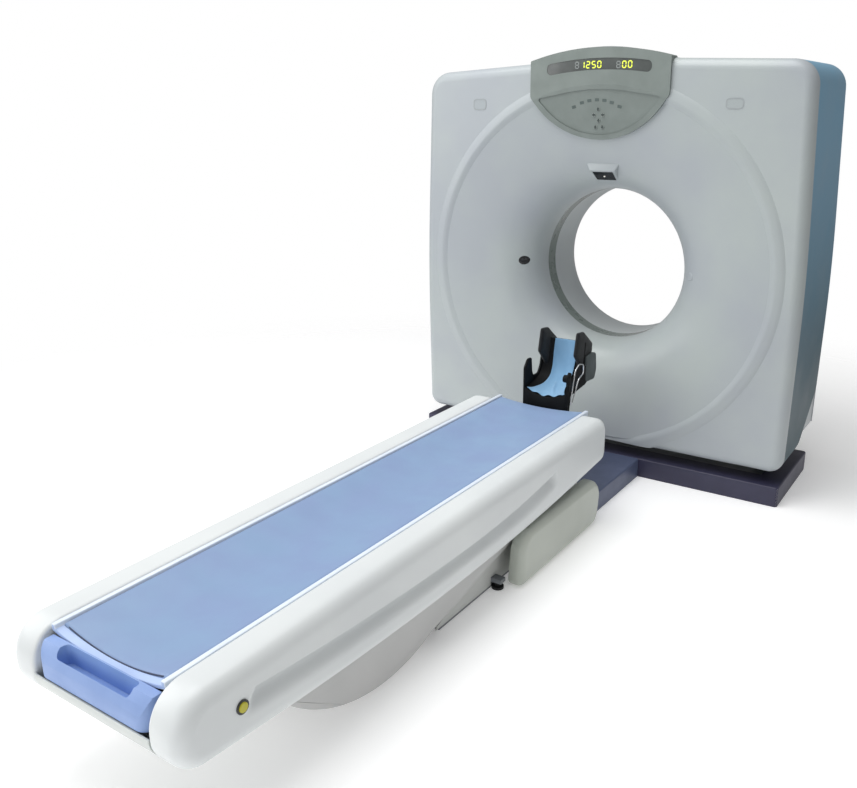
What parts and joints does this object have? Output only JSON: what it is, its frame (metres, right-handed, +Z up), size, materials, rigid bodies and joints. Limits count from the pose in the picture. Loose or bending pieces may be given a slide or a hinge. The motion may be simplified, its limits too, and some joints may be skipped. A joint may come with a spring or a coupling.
{
  "type": "ct scanner",
  "caption": "Tilting ring gantry on a floor plinth with a spinning X-ray rotor inside, and a patient table on a parallelogram lift whose padded cradle slides into the bore.",
  "frame": {"origin": "on the floor, under the centre of the scan plane", "axes": "+Y from the table's foot end into the bore, +Z up, +X to the right of someone who faces the gantry from the table"},
  "size_m": [1.806, 3.347, 1.869],
  "materials": {
    "shell_white": "satin moulded shell, pale grey-white",
    "side_teal": "satin blue-grey paint",
    "rear_grey": "satin moulded shell",
    "window_ring": "dark translucent ring",
    "console_grey": "satin grey-green housing",
    "display": "tinted window",
    "lamp_dark": "dark lens",
    "key": "soft key cap",
    "frame_steel": "grey primer on steel",
    "bright_steel": "machined steel",
    "cast": "machined cast aluminium",
    "motor": "dark enamel",
    "belt": "ribbed rubber",
    "tube_housing": "cream enamel",
    "electronics": "blue-grey sheet steel",
    "lead": "bare casting",
    "slip": "epoxy disc with brass tracks",
    "bronze": "bronze bush",
    "base_violet": "satin violet-grey",
    "bridge_blue": "satin blue-grey",
    "base_panel": "satin grey moulding",
    "foot": "black rubber",
    "rail_white": "satin near-white moulding",
    "skirt_grey": "satin grey moulding",
    "handle_blue": "satin light blue moulding",
    "button_yellow": "yellow cap",
    "bezel": "dark ring",
    "cradle_blue": "pale blue laminate",
    "pad": "blue-grey vinyl",
    "holder_black": "black laminate",
    "foam_dark": "dark foam cover",
    "cloth": "folded pale blue cloth",
    "clamp": "bright wire",
    "slide": "plain bearing strip"
  },
  "bodies": {
    "base": {"base_frame": "frame_steel", "base_cover": "base_violet", "bridge_cover": "bridge_blue", "stanchion_left": "frame_steel", "stanchion_right": "frame_steel", "trunnion_bearings": "bronze", "tilt_motor": "motor", "table_base": "frame_steel", "base_inner_panels": "base_panel", "base_side_cover_left": "base_panel", "base_side_cover_right": "base_panel", "levelling_feet": "foot"},
    "gantry": {"front_cover": "shell_white", "side_cover_right": "side_teal", "side_cover_left": "side_teal", "rear_cover": "rear_grey", "bore_window": "window_ring", "console_housing": "console_grey", "display_window": "display", "light_windows": "lamp_dark", "tilt_frame": "frame_steel", "bearing_race": "bright_steel", "sector_gear": "bright_steel", "spin_motor": "motor", "drive_belt": "belt"},
    "rotor": {"rotor_drum": "cast", "xray_tube": "tube_housing", "collimator": "lead", "detector": "electronics", "voltage_tank": "electronics", "heat_exchanger": "cast", "counterweight": "lead", "slip_ring": "slip"},
    "drive_pulley": {"drive_pulley": "bright_steel"},
    "tilt_pinion": {"tilt_pinion": "bright_steel"},
    "key_up": {"key_up": "key"},
    "key_left": {"key_left": "key"},
    "key_right": {"key_right": "key"},
    "key_down": {"key_down": "key"},
    "key_lower_left": {"key_lower_left": "key"},
    "key_lower_right": {"key_lower_right": "key"},
    "lift_arm": {"lift_arm": "frame_steel"},
    "parallel_link": {"parallel_link": "frame_steel"},
    "lift_rams": {"lift_rams": "motor"},
    "ram_rods": {"ram_rods": "clamp"},
    "table": {"table_frame": "frame_steel", "slide_strips": "slide", "table_rail_left": "rail_white", "table_rail_right": "rail_white", "table_skirt": "skirt_grey", "foot_handle": "handle_blue", "under_pan": "rail_white", "button_ring": "bezel"},
    "release_button": {"release_button": "button_yellow"},
    "cradle": {"cradle": "cradle_blue", "cradle_pad": "pad", "head_holder": "holder_black", "head_wings": "foam_dark", "head_cloth": "cloth", "head_clamp": "clamp"}
  },
  "joints": [
    {"name": "gantry_tilt", "type": "hinge", "parent": "base", "child": "gantry", "pos_m": [0, 0, 0.92], "axis": [1, 0, 0], "range_deg": [-20, 20]},
    {"name": "rotor_spin", "type": "hinge", "parent": "gantry", "child": "rotor", "pos_m": [0, 0, 0.92], "axis": [0, 1, 0], "continuous": true},
    {"name": "pulley_spin", "type": "hinge", "parent": "gantry", "child": "drive_pulley", "pos_m": [-0.575, 0.15, 0.345], "axis": [0, 1, 0], "continuous": true},
    {"name": "pinion_spin", "type": "hinge", "parent": "base", "child": "tilt_pinion", "pos_m": [-0.75, 0.02647, 0.57602], "axis": [1, 0, 0], "range_deg": [-134, 134]},
    {"name": "lift", "type": "hinge", "parent": "base", "child": "lift_arm", "pos_m": [0, -1.01, 0.205], "axis": [-1, 0, 0], "range_deg": [0, 24]},
    {"name": "table_level", "type": "hinge", "parent": "lift_arm", "child": "table", "pos_m": [0, -2.10581, 0.30087], "axis": [-1, 0, 0], "range_deg": [-24, 0]},
    {"name": "link_swing", "type": "hinge", "parent": "base", "child": "parallel_link", "pos_m": [0, -1.01, 0.105], "axis": [-1, 0, 0], "range_deg": [0, 24]},
    {"name": "ram_swing", "type": "hinge", "parent": "base", "child": "lift_rams", "pos_m": [0, -1.2, 0.05], "axis": [-1, 0, 0], "range_deg": [0, 26.51]},
    {"name": "ram_extend", "type": "slide", "parent": "lift_rams", "child": "ram_rods", "axis": [0, -0.8663, 0.4995], "range_m": [0, 0.1002]},
    {"name": "cradle_slide", "type": "slide", "parent": "table", "child": "cradle", "axis": [0, 1, 0], "range_m": [0, 0.22]},
    {"name": "button_press", "type": "slide", "parent": "table", "child": "release_button", "axis": [-1, 0, 0], "range_m": [0, 0.003], "stiffness_N_per_m": 600},
    {"name": "press_up", "type": "slide", "parent": "gantry", "child": "key_up", "axis": [0, 1, 0], "range_m": [0, 0.001], "stiffness_N_per_m": 600},
    {"name": "press_left", "type": "slide", "parent": "gantry", "child": "key_left", "axis": [0, 1, 0], "range_m": [0, 0.001], "stiffness_N_per_m": 600},
    {"name": "press_right", "type": "slide", "parent": "gantry", "child": "key_right", "axis": [0, 1, 0], "range_m": [0, 0.001], "stiffness_N_per_m": 600},
    {"name": "press_down", "type": "slide", "parent": "gantry", "child": "key_down", "axis": [0, 1, 0], "range_m": [0, 0.001], "stiffness_N_per_m": 600},
    {"name": "press_lower_left", "type": "slide", "parent": "gantry", "child": "key_lower_left", "axis": [0, 1, 0], "range_m": [0, 0.001], "stiffness_N_per_m": 600},
    {"name": "press_lower_right", "type": "slide", "parent": "gantry", "child": "key_lower_right", "axis": [0, 1, 0], "range_m": [0, 0.001], "stiffness_N_per_m": 600}
  ],
  "couplings": [
    {"joint": "pulley_spin", "follows": "rotor_spin", "ratio": 11.855},
    {"joint": "pinion_spin", "follows": "gantry_tilt", "ratio": -6.6667},
    {"joint": "table_level", "follows": "lift", "ratio": -1},
    {"joint": "link_swing", "follows": "lift", "ratio": 1},
    {"joint": "ram_swing", "follows": "lift", "ratio": 1.104},
    {"joint": "ram_extend", "follows": "lift", "m_per_rad": 0.239}
  ]
}
